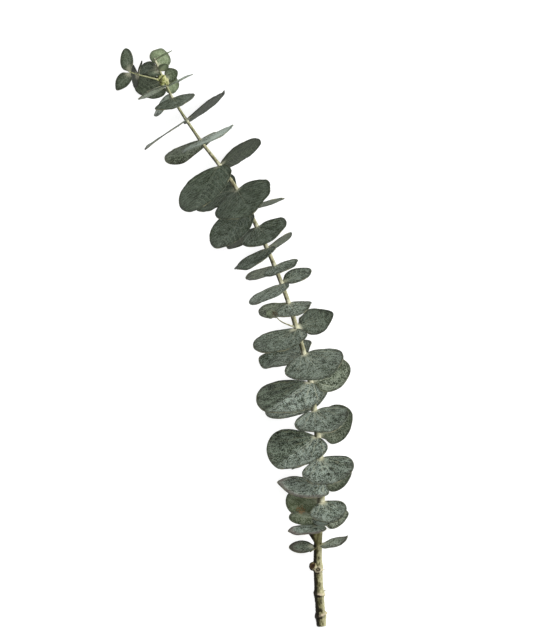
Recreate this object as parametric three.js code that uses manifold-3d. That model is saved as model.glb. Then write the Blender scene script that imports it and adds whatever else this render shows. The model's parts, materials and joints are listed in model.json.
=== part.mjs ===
import * as THREE from 'three';
import { mergeVertices } from 'three/addons/utils/BufferGeometryUtils.js';
import Module from 'manifold-3d';

const wasm = await Module();
wasm.setup();

// Lengths are millimetres and angles are degrees.
// x runs across the branch, y along it from the cut end, z up from the table it lies on.

// Centre line of the stem: the cut end rests on the table and the leafy length is held up by its leaves.
const STEM_ROUTE = [
  [0, 0, 3.5],
  [-2.3, 35, 7.6],
  [-2.7, 56, 10],
  [-1.8, 76, 12.8],
  [-0.2, 94, 15.2],
  [-1.1, 126, 19.5],
  [-5.6, 163, 25],
  [-8.4, 184, 27],
  [-18.6, 223.5, 28],
  [-35.6, 271.2, 27],
  [-63.8, 328.2, 28],
  [-91, 364.5, 29],
  [-112, 396.6, 29],
  [-117, 407, 29],
  [-125.5, 426, 28.5],
];
// Distance from the cut end and the stem's radius there.
const STEM_TAPER = [
  [0, 3.2],
  [55, 2.6],
  [130, 2.1],
  [230, 1.75],
  [340, 1.5],
  [405, 1.1],
  [440, 0.8],
  [460, 0.5],
];
const STEM_SIDES = 10;
const STEM_STEP = 11;
const CLOSEST_STEP = 1.2;

// Ring scars of fallen leaves on the bare lower length.
const SCAR_STATIONS = [6.8, 24.5, 45];
const SCAR_RISE = 1.2;
const SCAR_REACH = 2.4;
// Slight swelling where a pair of leaves joins the stem.
const JOINT_RISE = 0.3;
const JOINT_REACH = 2.5;

// Round stub of a lost bud beside the upper ring scar, and the plump bud at the foot of the side twig.
const STUB_CENTRE = [-6.2, 44.6, 9];
const STUB_RADII = [2.6, 2.8, 2.6];
const TIP_BUD_CENTRE = [-119.4, 408.6, 30.5];
const TIP_BUD_RADII = [2.4, 1.8, 1.6];
const BUD_SIDES = 12;
const BUD_RINGS = 8;

// Thin twig that leaves the stem near the tip.
const TWIG_ROUTE = [
  [-117, 407, 29],
  [-123.4, 410, 33.5],
  [-130.9, 411.8, 37.5],
  [-138.4, 413.6, 40],
  [-144.8, 415.9, 41],
];
const TWIG_TAPER = [
  [0, 0.7],
  [33, 0.45],
];
// Thread-like shoot from the axil of the eleventh pair.
const SHOOT_ROUTE = [
  [-18.6, 223.5, 28],
  [-23.4, 225.6, 29.5],
  [-28.8, 227.6, 31],
  [-32.6, 230, 31.5],
  [-34.4, 232.8, 31.5],
];
const SHOOT_TAPER = [
  [0, 0.6],
  [21, 0.4],
];
const TWIG_SIDES = 6;
const TWIG_STEP = 5;

// Blade of a leaf: round, slightly egg-shaped, notched at its base, with a small point at its tip.
const BLADE_THICKNESS = 0.8;
const CELLS_ALONG = 6;
const CELLS_ACROSS = 4;
const SEAT_GAP = 0.3;
// The base lobes shrink where a blade runs along the stem, so that they stay clear of it.
const BASE_LOBE = 0.09;
const LOBE_LOSS = 2.5;
const STEEPEST_LOSS = 0.7;
const EGG_SHARE = 0.06;
const TIP_POINT = 0.035;
const SLIGHT_FOLD = 3;
const DROOP_SHARE = 0.05;
const WAVE_SHARE = 0.018;
const WAVES_ROUND = 3;
const TABLE_SOFTNESS = 0.7;
const CLEAR_OF_TABLE = 20;

// Leaf pairs: distance along the stem, then each leaf's bearing seen from above, rise of its midrib,
// roll about its midrib, length, width as a share of the length, and where marked its fold and tip point.
const STEM_LEAVES = [
  { at: 60, leaves: { left: [181, 12, 52, 19, 0.75, 1, 0.01], right: [16, 31, -66, 22, 0.65, 0, 0.06] } },
  { at: 76, leaves: { front: [199, 61, 68, 30, 0.9, 3, 0.06], back: [25, -12, 30, 20, 0.85, 3, 0.08] } },
  { at: 84.5, leaves: { front: [301, 66, -25, 18, 0.95], back: [198, -47, -58, 26, 1.05, 3, 0.01] } },
  { at: 94.5, leaves: { front: [307, 56, -21, 28, 1, 3, 0.01], back: [191, -36, -34, 28, 1.05, 0, 0.01] } },
  { at: 109.5, leaves: { front: [197, 49, 56, 34, 1.15, 0, 0.01], back: [20, -35, 31, 26, 1] } },
  { at: 127, leaves: { front: [306, 62, -20, 40, 1], back: [192, -61, 73, 30, 1, 3, 0.07] } },
  { at: 143.5, leaves: { front: [216, 42, 41, 48, 0.95, 17, 0.01], back: [36, -26, 31, 31, 1] } },
  {
    at: 164,
    leaves: { front: [309, 68, -23, 44, 0.95, 3, 0.09], back: [152, -54, 36, 46, 1.15, 3, 0.05] },
  },
  { at: 186, leaves: { front: [214, 46, 49, 52, 0.95, 1, 0.01], back: [19, -18, 31, 30, 1] } },
  { at: 207, leaves: { front: [314, 62, -24, 44, 1.05, 3, 0.01], back: [178, -56, 57, 49, 0.8, 0, 0.2] } },
  {
    at: 226.5,
    leaves: { front: [214, 47, 61, 41, 1.05, 3, 0.02], back: [24, -47, -10, 38, 0.55, 0, 0.17] },
  },
  { at: 246.5, leaves: { front: [309, 70, -22, 26, 1.15, 0, 0.01], back: [205, -42, -60, 26, 1] } },
  { at: 262.5, leaves: { front: [218, 46, 72, 31, 1.15, 0, 0.01], back: [27, -9, -61, 22, 1, 3, 0.05] } },
  { at: 277, leaves: { front: [342, 70, -48, 25, 1.15, 0, 0.01], back: [211, -54, -72, 29, 1] } },
  { at: 291, leaves: { front: [223, 54, 70, 34, 1, 3, 0.01], back: [30, -42, 78, 24, 1, 0, 0.01] } },
  { at: 309, leaves: { front: [320, 68, -20, 36, 1.05], back: [222, -54, -73, 34, 1, 3, 0.05] } },
  { at: 325, leaves: { front: [233, 29, 55, 40, 1], back: [15, -51, 86, 34, 1.05, 0, 0.02] } },
  { at: 340.5, leaves: { front: [300, 68, 3, 48, 1, 3, 0.06], back: [189, -44, 44, 43, 0.85, 3, 0.17] } },
  { at: 363.5, leaves: { front: [239, 40, 56, 50, 0.95, 3, 0.02], back: [31, -26, 69, 36, 0.9, 0, 0.05] } },
  { at: 386.5, leaves: { front: [14, 76, -76, 46, 0.95, 0], back: [230, -69, -65, 51, 0.85, 12, 0.04] } },
  { at: 405, leaves: { front: [213, 32, 89, 40, 1, 0, 0.06], back: [37, -36, 84, 38, 1, 0] } },
  { at: 424.5, leaves: { front: [302, 78, -12, 32, 1, 0, 0.01], back: [217, -38, 65, 21, 0.95, 3, 0.01] } },
  { at: 434, leaves: { front: [200, 21, -80, 22, 1, 0, 0.1], back: [28, 0, -85, 20, 0.85, 0] } },
  {
    at: 438.5,
    leaves: {
      left: [198, -43, -30, 28, 0.85, 3, 0.02],
      right: [42, -13, 36, 11, 1.05],
      back: [340, -62, -13, 20, 0.75, 5, 0.07],
    },
  },
  { at: 446, leaves: { left: [193, 44, 59, 11, 0.85, 3, 0.05], right: [56, 59, 27, 14, 0.55, 3, 0.07] } },
  { at: 450, leaves: { left: [195, -51, 11, 24, 0.55, 0, 0.07], right: [78, -52, 10, 21, 0.8, 0, 0.18] } },
  { at: 455.5, leaves: { right: [33, 13, 87, 14, 0.8, 3, 0.01] } },
];
const TWIG_LEAVES = [
  { at: 24, leaves: { up: [77, 10, 83, 10, 0.9], back: [193, -68, 2, 16, 1.15, 3, 0.01] } },
  { at: 31, leaves: { up: [103, -26, -35, 19, 0.65], down: [236, 37, 16, 18, 0.6, 3, 0.14] } },
];
const SHOOT_LEAVES = [{ at: 19, leaves: { tip: [160, 15, 10, 7, 1] } }];

const STEM_COLOUR = 0xa79a6c;
const STEM_ROUGHNESS = 0.7;
const LEAF_COLOUR = 0x6a7f76;
const LEAF_ROUGHNESS = 0.6;

const UP = new THREE.Vector3(0, 0, 1);

function curveThrough(route) {
  return new THREE.CatmullRomCurve3(
    route.map((point) => new THREE.Vector3(...point)),
    false,
    'centripetal',
  );
}

function radiusFrom(taper, station) {
  const last = taper.length - 1;
  for (let i = 0; i < last; i += 1) {
    const [from, radius] = taper[i];
    const [to, next] = taper[i + 1];
    if (station <= to) {
      return THREE.MathUtils.lerp(radius, next, (station - from) / (to - from));
    }
  }
  return taper[last][1];
}

function bump(station, centre, rise, reach) {
  const away = Math.abs(station - centre) / reach;
  return away < 1 ? rise * (1 - away * away) : 0;
}

// Point, direction and the two cross directions of a curve at a distance along it.
function frameAt(curve, station) {
  const share = THREE.MathUtils.clamp(station / curve.getLength(), 0, 1);
  const point = curve.getPointAt(share);
  const along = curve.getTangentAt(share);
  const side = along.clone().cross(UP).normalize();
  const over = side.clone().cross(along);
  return { point, along, side, over };
}

// A turned rod of the given radii, bent along a curve.
function bentRod(curve, stations, radiusAt, sides) {
  const first = stations[0];
  const end = stations[stations.length - 1];
  const profile = [
    new THREE.Vector2(0, first),
    ...stations.map((station) => new THREE.Vector2(radiusAt(station), station)),
    new THREE.Vector2(0, end),
  ];
  const rod = new THREE.LatheGeometry(profile, sides);
  const position = rod.getAttribute('position');
  for (let i = 0; i < position.count; i += 1) {
    const { point, side, over } = frameAt(curve, position.getY(i));
    point.addScaledVector(side, position.getX(i));
    point.addScaledVector(over, position.getZ(i));
    position.setXYZ(i, point.x, point.y, point.z);
  }
  return rod;
}

// Keeps positions only, welds the seams and drops the slivers left at the poles.
function welded(geometry) {
  const bare = new THREE.BufferGeometry();
  bare.setAttribute('position', geometry.getAttribute('position'));
  bare.setIndex(geometry.getIndex());
  const merged = mergeVertices(bare);
  const index = merged.getIndex().array;
  const kept = [];
  for (let i = 0; i < index.length; i += 3) {
    const [a, b, c] = [index[i], index[i + 1], index[i + 2]];
    if (a !== b && b !== c && c !== a) {
      kept.push(a, b, c);
    }
  }
  merged.setIndex(kept);
  return merged;
}

function toSolid(geometry) {
  const clean = welded(geometry);
  return new wasm.Manifold(
    new wasm.Mesh({
      numProp: 3,
      vertProperties: new Float32Array(clean.getAttribute('position').array),
      triVerts: new Uint32Array(clean.getIndex().array),
    }),
  );
}

function toGeometry(solid) {
  const mesh = solid.getMesh();
  const geometry = new THREE.BufferGeometry();
  geometry.setAttribute('position', new THREE.BufferAttribute(mesh.vertProperties, mesh.numProp));
  geometry.setIndex(new THREE.BufferAttribute(mesh.triVerts, 1));
  geometry.computeVertexNormals();
  return geometry;
}

function evenStations(length, step) {
  const count = Math.ceil(length / step);
  return Array.from({ length: count + 1 }, (_, i) => (length * i) / count);
}

const stemCurve = curveThrough(STEM_ROUTE);
const twigCurve = curveThrough(TWIG_ROUTE);
const shootCurve = curveThrough(SHOOT_ROUTE);
const stemLength = stemCurve.getLength();

function stemRadius(station) {
  let radius = radiusFrom(STEM_TAPER, station);
  SCAR_STATIONS.forEach((scar) => {
    radius += bump(station, scar, SCAR_RISE, SCAR_REACH);
  });
  STEM_LEAVES.forEach((pair) => {
    radius += bump(station, pair.at, JOINT_RISE, JOINT_REACH);
  });
  return radius;
}

// Rings of the stem: even steps, with three more at each scar and joint so that its swelling shows.
function stemStations() {
  const wanted = evenStations(stemLength, STEM_STEP);
  SCAR_STATIONS.forEach((scar) => wanted.push(scar - SCAR_REACH, scar, scar + SCAR_REACH));
  STEM_LEAVES.forEach(({ at }) => wanted.push(at - JOINT_REACH, at, at + JOINT_REACH));
  const sorted = wanted.filter((station) => station <= stemLength).sort((a, b) => a - b);
  return sorted.filter((station, i) => i === 0 || station - sorted[i - 1] > CLOSEST_STEP);
}

function ball(centre, radii) {
  const geometry = new THREE.SphereGeometry(1, BUD_SIDES, BUD_RINGS);
  geometry.scale(...radii);
  geometry.translate(...centre);
  return toSolid(geometry);
}

function thinRod(curve, taper) {
  const stations = evenStations(curve.getLength(), TWIG_STEP);
  return toSolid(bentRod(curve, stations, (station) => radiusFrom(taper, station), TWIG_SIDES));
}

function stemSolid() {
  const stations = stemStations();
  const rod = toSolid(bentRod(stemCurve, stations, stemRadius, STEM_SIDES));
  return wasm.Manifold.union([
    rod,
    ball(STUB_CENTRE, STUB_RADII),
    ball(TIP_BUD_CENTRE, TIP_BUD_RADII),
    thinRod(twigCurve, TWIG_TAPER),
    thinRod(shootCurve, SHOOT_TAPER),
  ]);
}

// Directions of a leaf: along its midrib, across the blade, and out of the face that looks up.
function leafAxes(bearing, rise, roll) {
  const turn = THREE.MathUtils.degToRad(bearing);
  const lift = THREE.MathUtils.degToRad(rise);
  const lean = THREE.MathUtils.degToRad(roll);
  const along = new THREE.Vector3(
    Math.cos(lift) * Math.cos(turn),
    Math.cos(lift) * Math.sin(turn),
    Math.sin(lift),
  );
  const level = new THREE.Vector3(-Math.sin(turn), Math.cos(turn), 0);
  const across = level.applyAxisAngle(along, lean);
  const out = along.clone().cross(across);
  return { along, across, out };
}

// A point below the table is pressed up to lie along it.
function pressUp(height) {
  const lowest = BLADE_THICKNESS / 2;
  const above = (height - lowest) / TABLE_SOFTNESS;
  return above > CLEAR_OF_TABLE ? height : lowest + TABLE_SOFTNESS * Math.log1p(Math.exp(above));
}

// Middle surface of a leaf as a grid that fills a round outline notched at its base.
function leafSurface(spot, pose, seed) {
  const [bearing, rise, roll, length, widthShare, foldAngle = SLIGHT_FOLD, tipPoint = TIP_POINT] = pose;
  const { along, across, out } = leafAxes(bearing, rise, roll);
  const slant = Math.sqrt(1 - along.dot(spot.along) ** 2);
  const start = (spot.radius + SEAT_GAP) / slant;
  const facing = Math.sign(out.dot(spot.along)) || 1;
  const lengthwise = Math.min(Math.abs(across.dot(spot.along)), STEEPEST_LOSS);
  const lobeShare = BASE_LOBE * (1 - LOBE_LOSS * lengthwise);
  const phase = THREE.MathUtils.seededRandom(seed) * Math.PI * 2;
  const fold = Math.tan(THREE.MathUtils.degToRad(foldAngle));
  const points = [];
  for (let row = 0; row <= CELLS_ALONG; row += 1) {
    for (let column = 0; column <= CELLS_ACROSS; column += 1) {
      const q = (2 * row) / CELLS_ALONG - 1;
      const p = (2 * column) / CELLS_ACROSS - 1;
      const x = p * Math.sqrt(1 - (q * q) / 2);
      const y = q * Math.sqrt(1 - (p * p) / 2);
      const low = ((1 - q) / 2) ** 2;
      const high = Math.max(q, 0) ** 4 * (1 - Math.abs(p));
      const reach = (1 + y) / 2;
      const sideways = ((widthShare * length) / 2) * x * (1 - EGG_SHARE * y);
      const lobe = lobeShare * Math.sin(Math.PI * Math.abs(p)) * low;
      const forward = start + length * (reach - lobe + tipPoint * high);
      const ripple = Math.sin(phase + WAVES_ROUND * Math.atan2(y, x)) * (x * x + y * y);
      const height =
        fold * Math.abs(sideways) + length * (WAVE_SHARE * ripple * reach - DROOP_SHARE * reach * reach);
      const point = spot.point.clone();
      point.addScaledVector(along, forward);
      point.addScaledVector(across, sideways);
      point.addScaledVector(out, facing * height);
      point.z = pressUp(point.z);
      points.push(point);
    }
  }
  return points;
}

// Triangles of the grid: each cell is split from the corner nearer the rim to the one nearer the middle.
function gridTriangles() {
  const wide = CELLS_ACROSS + 1;
  const triangles = [];
  for (let row = 0; row < CELLS_ALONG; row += 1) {
    for (let column = 0; column < CELLS_ACROSS; column += 1) {
      const a = row * wide + column;
      const b = a + 1;
      const c = a + wide + 1;
      const d = a + wide;
      const lower = row < CELLS_ALONG / 2;
      const left = column < CELLS_ACROSS / 2;
      if (lower === left) {
        triangles.push([a, b, c], [a, c, d]);
      } else {
        triangles.push([a, b, d], [b, c, d]);
      }
    }
  }
  return triangles;
}

// Grid points round the rim, in order.
function rimLoop() {
  const wide = CELLS_ACROSS + 1;
  const top = CELLS_ALONG * wide;
  const loop = [];
  for (let i = 0; i < CELLS_ACROSS; i += 1) loop.push(i);
  for (let i = 0; i < CELLS_ALONG; i += 1) loop.push(i * wide + CELLS_ACROSS);
  for (let i = CELLS_ACROSS; i > 0; i -= 1) loop.push(top + i);
  for (let i = CELLS_ALONG; i > 0; i -= 1) loop.push(i * wide);
  return loop;
}

const GRID = gridTriangles();
const RIM = rimLoop();

// A leaf blade: its middle surface thickened to both sides and closed round the rim.
function leafBlade(points) {
  const middle = new THREE.BufferGeometry().setFromPoints(points);
  middle.setIndex(GRID.flat());
  middle.computeVertexNormals();
  const normal = middle.getAttribute('normal');
  const offset = new THREE.Vector3();
  const skins = [1, -1].map((side) =>
    points.map((point, i) => {
      offset.fromBufferAttribute(normal, i);
      return point.clone().addScaledVector(offset, (side * BLADE_THICKNESS) / 2);
    }),
  );
  const count = points.length;
  const triangles = [];
  GRID.forEach(([a, b, c]) => {
    triangles.push(a, b, c);
    triangles.push(count + a, count + c, count + b);
  });
  RIM.forEach((from, i) => {
    const to = RIM[(i + 1) % RIM.length];
    triangles.push(from, count + from, count + to);
    triangles.push(from, count + to, to);
  });
  const blade = new THREE.BufferGeometry().setFromPoints(skins.flat());
  blade.setIndex(triangles);
  blade.computeVertexNormals();
  return blade;
}

function named(name, geometry, color, roughness) {
  const material = new THREE.MeshStandardMaterial({ color, roughness, metalness: 0 });
  const mesh = new THREE.Mesh(geometry, material);
  mesh.name = name;
  return mesh;
}

const branch = new THREE.Group();
branch.name = 'eucalyptus_branch';
branch.add(named('stem', toGeometry(stemSolid()), STEM_COLOUR, STEM_ROUGHNESS));

const growths = [
  { prefix: 'leaf', curve: stemCurve, radiusAt: stemRadius, pairs: STEM_LEAVES },
  {
    prefix: 'twig_leaf',
    curve: twigCurve,
    radiusAt: (station) => radiusFrom(TWIG_TAPER, station),
    pairs: TWIG_LEAVES,
  },
  {
    prefix: 'shoot_leaf',
    curve: shootCurve,
    radiusAt: (station) => radiusFrom(SHOOT_TAPER, station),
    pairs: SHOOT_LEAVES,
  },
];
let leafCount = 0;
growths.forEach(({ prefix, curve, radiusAt, pairs }) => {
  pairs.forEach(({ at, leaves }, i) => {
    const spot = { ...frameAt(curve, at), radius: radiusAt(at) };
    Object.entries(leaves).forEach(([place, pose]) => {
      leafCount += 1;
      const blade = leafBlade(leafSurface(spot, pose, leafCount));
      const name = `${prefix}_${String(i + 1).padStart(2, '0')}_${place}`;
      branch.add(named(name, blade, LEAF_COLOUR, LEAF_ROUGHNESS));
    });
  });
});

// The origin is under the middle of the branch, on the table.
const box = new THREE.Box3().setFromObject(branch);
const middle = box.getCenter(new THREE.Vector3());
branch.children.forEach((mesh) => mesh.geometry.translate(-middle.x, -middle.y, -box.min.z));

export default branch;
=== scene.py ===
"""A cut eucalyptus branch lying on a white board, seen from straight above."""

import json
import math

import bpy
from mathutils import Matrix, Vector, kdtree

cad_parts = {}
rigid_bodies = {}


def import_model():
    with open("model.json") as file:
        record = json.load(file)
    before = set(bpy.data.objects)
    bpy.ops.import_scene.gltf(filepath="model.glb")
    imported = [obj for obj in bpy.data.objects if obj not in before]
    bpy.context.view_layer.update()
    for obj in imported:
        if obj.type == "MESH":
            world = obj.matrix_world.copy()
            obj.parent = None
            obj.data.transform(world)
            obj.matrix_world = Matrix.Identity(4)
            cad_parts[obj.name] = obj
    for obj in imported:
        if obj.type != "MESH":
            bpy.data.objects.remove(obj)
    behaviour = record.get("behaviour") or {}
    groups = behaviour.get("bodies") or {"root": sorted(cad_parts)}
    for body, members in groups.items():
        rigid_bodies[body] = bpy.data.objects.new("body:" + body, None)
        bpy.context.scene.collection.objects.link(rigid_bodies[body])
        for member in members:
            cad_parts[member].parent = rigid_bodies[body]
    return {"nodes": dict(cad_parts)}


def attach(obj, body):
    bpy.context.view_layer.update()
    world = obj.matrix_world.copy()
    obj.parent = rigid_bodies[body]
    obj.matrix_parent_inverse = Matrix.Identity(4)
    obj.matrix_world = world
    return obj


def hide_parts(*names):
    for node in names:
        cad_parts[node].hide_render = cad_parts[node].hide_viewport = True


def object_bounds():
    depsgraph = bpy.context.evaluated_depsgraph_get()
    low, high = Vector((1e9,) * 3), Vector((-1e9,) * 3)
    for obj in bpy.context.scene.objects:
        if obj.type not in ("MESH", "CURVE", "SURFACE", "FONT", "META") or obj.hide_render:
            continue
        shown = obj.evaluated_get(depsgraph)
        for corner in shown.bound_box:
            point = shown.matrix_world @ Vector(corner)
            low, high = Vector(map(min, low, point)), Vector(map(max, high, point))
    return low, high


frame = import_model()
cad_low, cad_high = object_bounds()
nodes = frame["nodes"]

MM = 0.001
CM = 0.01
MERGE = 0.01 * MM
LEAST_WEIGHT = 0.001

# Blade of a leaf.
RIM_ANGLE = math.radians(50)
QUAD_BEND = math.radians(70)
QUAD_SKEW = math.radians(180)
SMOOTH_ANGLE = math.radians(40)
FACES_UP = 0.7
BLADE_SMOOTHING = 3
BLADE_THICKNESS = 0.6 * MM
STALK_SINKS = 0.8
STALK_NARROWS = 0.45
STEM_NEAR = 5 * MM
STEM_STRETCH = 3 * STEM_NEAR
GROOVE_DEPTH = 0.22 * MM
GROOVE_HALF_WIDTH = 0.7 * MM
GROOVE_FADES = 0.8
RIPPLE = 1.3 * MM
RIPPLE_SIZE = 9 * MM
RIPPLE_REACH = 5 * MM
PUCKER = 0.35 * MM
PUCKER_SIZE = 3.5 * MM
STIFF_BASE = 0.3
FULLY_RIPPLED = 40 * MM

# Grain of the leaf's finish.
SPECK_SIZE = 0.8 * MM
GRANULE_SIZE = 0.9 * MM
GRANULES_MOVED = (0.3, 0.1, 0.2)
PATCH_SIZE = 8 * MM
CLOUD_SIZE = 5 * MM
VEIN_WANDER = 5 * MM
FAN_WANDER = 6 * MM
DRY_STRETCH = 7 * MM
FLECK_SIZE = 1.2 * MM
RAGGED_SIZE = 1.5 * MM
VEINS_EACH_CM = 2.3
FAN_VEINS = 3.2
# Width over which the painted shade on the tipward half fades in.
PAINTED_SHADE_FADE = 2 * MM

# Bark of the stem.
GIRTH_BACK = 0.7 * MM
TIP_GIRTH = 0.2
BARK_QUAD_BEND = math.radians(40)
BARK_QUAD_SKEW = math.radians(60)
STEM_SMOOTHING = 2
BARK_VOXEL = 0.33 * MM
BARK_SOFTENING = 3
BARK_RELIEF = 0.5 * MM
BARK_LUMP = 1.6 * MM
YOUNG_RELIEF = 0.15
BARE_TOP = -0.150
BARE_FADE = 0.02
CUT_END = 1.6 * MM
JOINT_REACH = 4.5 * MM
CONE_SIDES = 28
STREAK_SIZE = 1.7 * MM
CRUMPLE_SIZE = 1.6 * MM
MOSS_SIZE = 3.5 * MM
BLOT_SIZE = 4.5 * MM
CHIP_SIZE = 2 * MM
# Heights along the branch between which its bark changes.
UPPER_BARK = (-0.15, -0.08)
GREEN_TIP = (0.13, 0.19)
MOSS_ENDS = (-0.16, -0.10)
# The next heights bound the painted shade among the leaves, the start of the cream joints with
# painted light, and the middle of the painted shadow under the second pair.
LEAVES_START = (-0.150, -0.142)
LEAVES_THIN_OUT = (-0.02, 0.02)
CALLUS_WITH_PAINTED_LIGHT_STARTS = (-0.135, -0.125)
SHADED_PAIR = -0.1510
# Ring scars on the bare length: middle of the lip, its radius, the radius it narrows to,
# how far up that is, in mm, and the way up.
COLLARS = (
    ((64.7, -209.2, 5.0), 5.3, 3.3, 3.6, (-0.34, 0.90, 0.26)),
    ((63.4, -193.2, 6.4), 5.0, 3.2, 1.6, (0.18, 0.94, 0.28)),
    ((62.4, -175.6, 8.5), 4.0, 3.0, 2.4, (-0.06, 0.96, 0.28)),
)
# Knob of a lost side shoot, the stalk of the lowest leaf across the stem and a dark wedge beside
# the stem:
# ends and radii in mm.
KNOB = ((62.2, -174.6, 9.0), (58.5, -172.0, 12.3), 2.0, 2.5)
CLASPING_STALK = ((56.3, -161.6, 12.2), (65.2, -155.0, 13.6), 0.55, 0.65)
DARK_WEDGE = ((62.2, -157.8, 11.2), (59.3, -147.0, 12.0), 0.5, 4.2)
RING_SCAR = Vector((62.3, -174.6, 11.0)) * MM
# Dark blots on the bare bark and thin dry hairs on two of the ring scars, in mm.
BARK_BLOTS = (
    ((65.4, -198.9, 0.0), 2.0),
    ((64.2, -205.2, 0.0), 1.5),
    ((63.6, -166.0, 0.0), 1.3),
)
DRY_HAIRS = (
    ((65.0, -175.6, 9.4), (67.9, -174.4, 10.0), 0.45, 0.22),
    ((66.0, -192.0, 7.4), (68.6, -189.6, 8.2), 0.45, 0.22),
)
# Bud at the foot of the side twig: its place, the middles and radii of its crumpled scales
# and its pale stalk, in mm.
BUD = ((-53.6, 192.4, 0.0), 5.5)
BUD_SCALES = (
    ((-56.4, 194.2, 31.8), 2.2),
    ((-53.6, 194.6, 32.0), 2.1),
    ((-51.2, 190.2, 31.6), 2.1),
    ((-54.6, 190.0, 31.8), 2.2),
    ((-53.8, 192.3, 32.6), 2.7),
    ((-51.6, 192.4, 31.8), 2.0),
)
BUD_STALK = ((-54.4, 194.6, 32.4), (-56.2, 199.4, 33.0), 1.1, 0.5)

# White board, light and camera.
BOARD_SIZE = 12
BOARD_CLOUDS = 300 * MM
BOARD_GLOW = 0.82
ROOM_GLOW = 0.40
# Place, size and power of each lamp.
LAMPS = {
    "window_light": ((2.0, 0.7, 1.7), 1.0, 48),
    "ceiling_light": ((0.2, 0.3, 3.0), 1.4, 25),
}
FRAME_MIDDLE = (0.0274, 0.0165)
FRAME_HEIGHT = 472.5 * MM
LEAF_LEVEL = 0.025
SENSOR_WIDTH = 36
LENS_LENGTH = 600
SEEN_AS_FAR_AS = 100

# How the leaves are finished up to each pair: pale wax, olive, mauve, fresh green and depth of
# painted shade; 0 is none, and past 1 the wax is thick.
PAIR_FINISH = (
    (6, (0.80, 0.05, 0.12, 0.0, 0.0)),
    (9, (0.72, 0.08, 0.08, 0.0, 0.0)),
    (11, (0.54, 0.12, 0.05, 0.0, 0.1)),
    (14, (0.85, 0.28, 0.05, 0.0, 0.0)),
    (16, (0.38, 0.15, 0.0, 0.0, 0.0)),
    (19, (0.24, 0.10, 0.0, 0.0, 0.05)),
    (23, (0.35, 0.10, 0.0, 0.0, 0.0)),
    (27, (0.30, 0.05, 0.0, 0.20, 0.3)),
)
# The same for the leaves of the twig and the shoot, and for single leaves.
SIDE_FINISH = (0.30, 0.15, 0.0, 0.25, 0.3)
OWN_FINISH = {
    "leaf_01_left": (0.55, 0.25, 0.60, 0.0, 0.6),
    "leaf_01_right": (1.15, 0.60, 0.40, 0.0, 0.0),
    "leaf_02_front": (0.85, 0.0, 0.90, 0.0, 0.0),
    "leaf_03_back": (1.0, 0.50, 0.0, 0.36, 0.0),
    "leaf_03_front": (1.5, 0.0, 0.0, 0.0, 0.0),
    "leaf_04_back": (0.60, 0.72, 0.0, 0.35, 0.0),
    "leaf_04_front": (0.68, 0.05, 0.12, 0.0, 0.0),
    "leaf_05_back": (0.40, 0.20, 0.0, 0.0, 0.55),
    "leaf_05_front": (0.88, 0.05, 0.65, 0.0, 0.0),
    "leaf_07_back": (0.50, 0.10, 0.0, 0.0, 0.6),
    "leaf_07_front": (0.80, 0.06, 0.08, 0.0, 0.0),
    "leaf_08_back": (0.72, 0.12, 0.10, 0.0, 0.1),
    "leaf_08_front": (0.78, 0.08, 0.08, 0.0, 0.0),
    "leaf_09_back": (0.62, 0.04, 0.05, 0.0, 0.0),
    "leaf_09_front": (0.80, 0.06, 0.08, 0.0, 0.0),
    "leaf_11_back": (0.42, 0.18, 0.0, 0.0, 0.8),
    "leaf_12_back": (1.05, 0.28, 0.05, 0.0, 0.0),
    "leaf_13_back": (0.50, 0.15, 0.0, 0.0, 0.1),
    "leaf_13_front": (1.05, 0.28, 0.05, 0.0, 0.0),
    "leaf_14_back": (0.65, 0.25, 0.10, 0.0, 0.25),
    "leaf_15_back": (0.38, 0.15, 0.0, 0.0, 0.35),
    "leaf_15_front": (0.60, 0.15, 0.0, 0.0, 0.0),
    "leaf_16_back": (0.20, 0.30, 0.0, 0.0, 0.9),
    "leaf_17_front": (0.34, 0.10, 0.0, 0.0, 0.0),
    "leaf_19_back": (0.25, 0.0, 0.0, 0.0, 0.8),
    "leaf_20_back": (0.54, 0.0, 0.10, 0.0, 0.0),
    "leaf_20_front": (1.7, 0.0, 0.0, 0.0, 0.0),
    "leaf_21_back": (0.35, 0.0, 0.0, 0.0, 1.0),
    "leaf_21_front": (0.70, 0.0, 0.3, 0.0, 0.0),
    "leaf_22_back": (1.3, 0.0, 0.2, 0.0, 0.0),
    "leaf_23_back": (1.4, 0.0, 0.0, 0.1, 0.0),
    "leaf_23_front": (1.2, 0.0, 0.3, 0.0, 0.0),
    "leaf_24_back": (0.25, 0.10, 0.0, 0.75, 0.15),
    "leaf_24_left": (0.30, 0.05, 0.0, 0.0, 0.15),
    "leaf_25_right": (1.6, 0.0, 0.0, 1.0, 0.0),
    "leaf_26_left": (0.30, 0.0, 0.0, 0.1, 0.35),
    "leaf_26_right": (0.20, 0.10, 0.0, 0.95, 0.1),
    "leaf_27_right": (0.60, 0.0, 0.0, 1.0, 0.0),
    "shoot_leaf_01_tip": (0.70, 0.20, 0.0, 0.30, 0.0),
    "twig_leaf_01_back": (0.10, 0.30, 0.0, 0.0, 1.0),
    "twig_leaf_01_up": (0.20, 0.20, 0.0, 0.0, 1.0),
    "twig_leaf_02_down": (0.30, 0.15, 0.0, 0.20, 0.8),
}
# How much painted shade darkens the half nearer the branch's tip.
TIPWARD_PAINTED_SHADE = {
    "leaf_06_front": 0.4,
    "leaf_07_front": 0.8,
    "leaf_08_front": 0.4,
    "leaf_09_front": 0.9,
}
USUAL_PAINTED_SHADE = 0.2
# Leaves whose base shows a cream callus, partly painted light over the shade at the base.
LEAVES_WITH_CALLUS_AND_PAINTED_LIGHT = {
    "leaf_04_front": 1.0,
    "leaf_06_front": 0.9,
    "leaf_07_front": 0.7,
    "leaf_08_front": 1.0,
    "leaf_09_front": 0.9,
    "leaf_10_front": 0.8,
    "leaf_11_back": 0.8,
    "leaf_11_front": 0.9,
    "leaf_18_front": 0.6,
}
FAINT_CALLUS_WITH_PAINTED_LIGHT = 0.35
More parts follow.
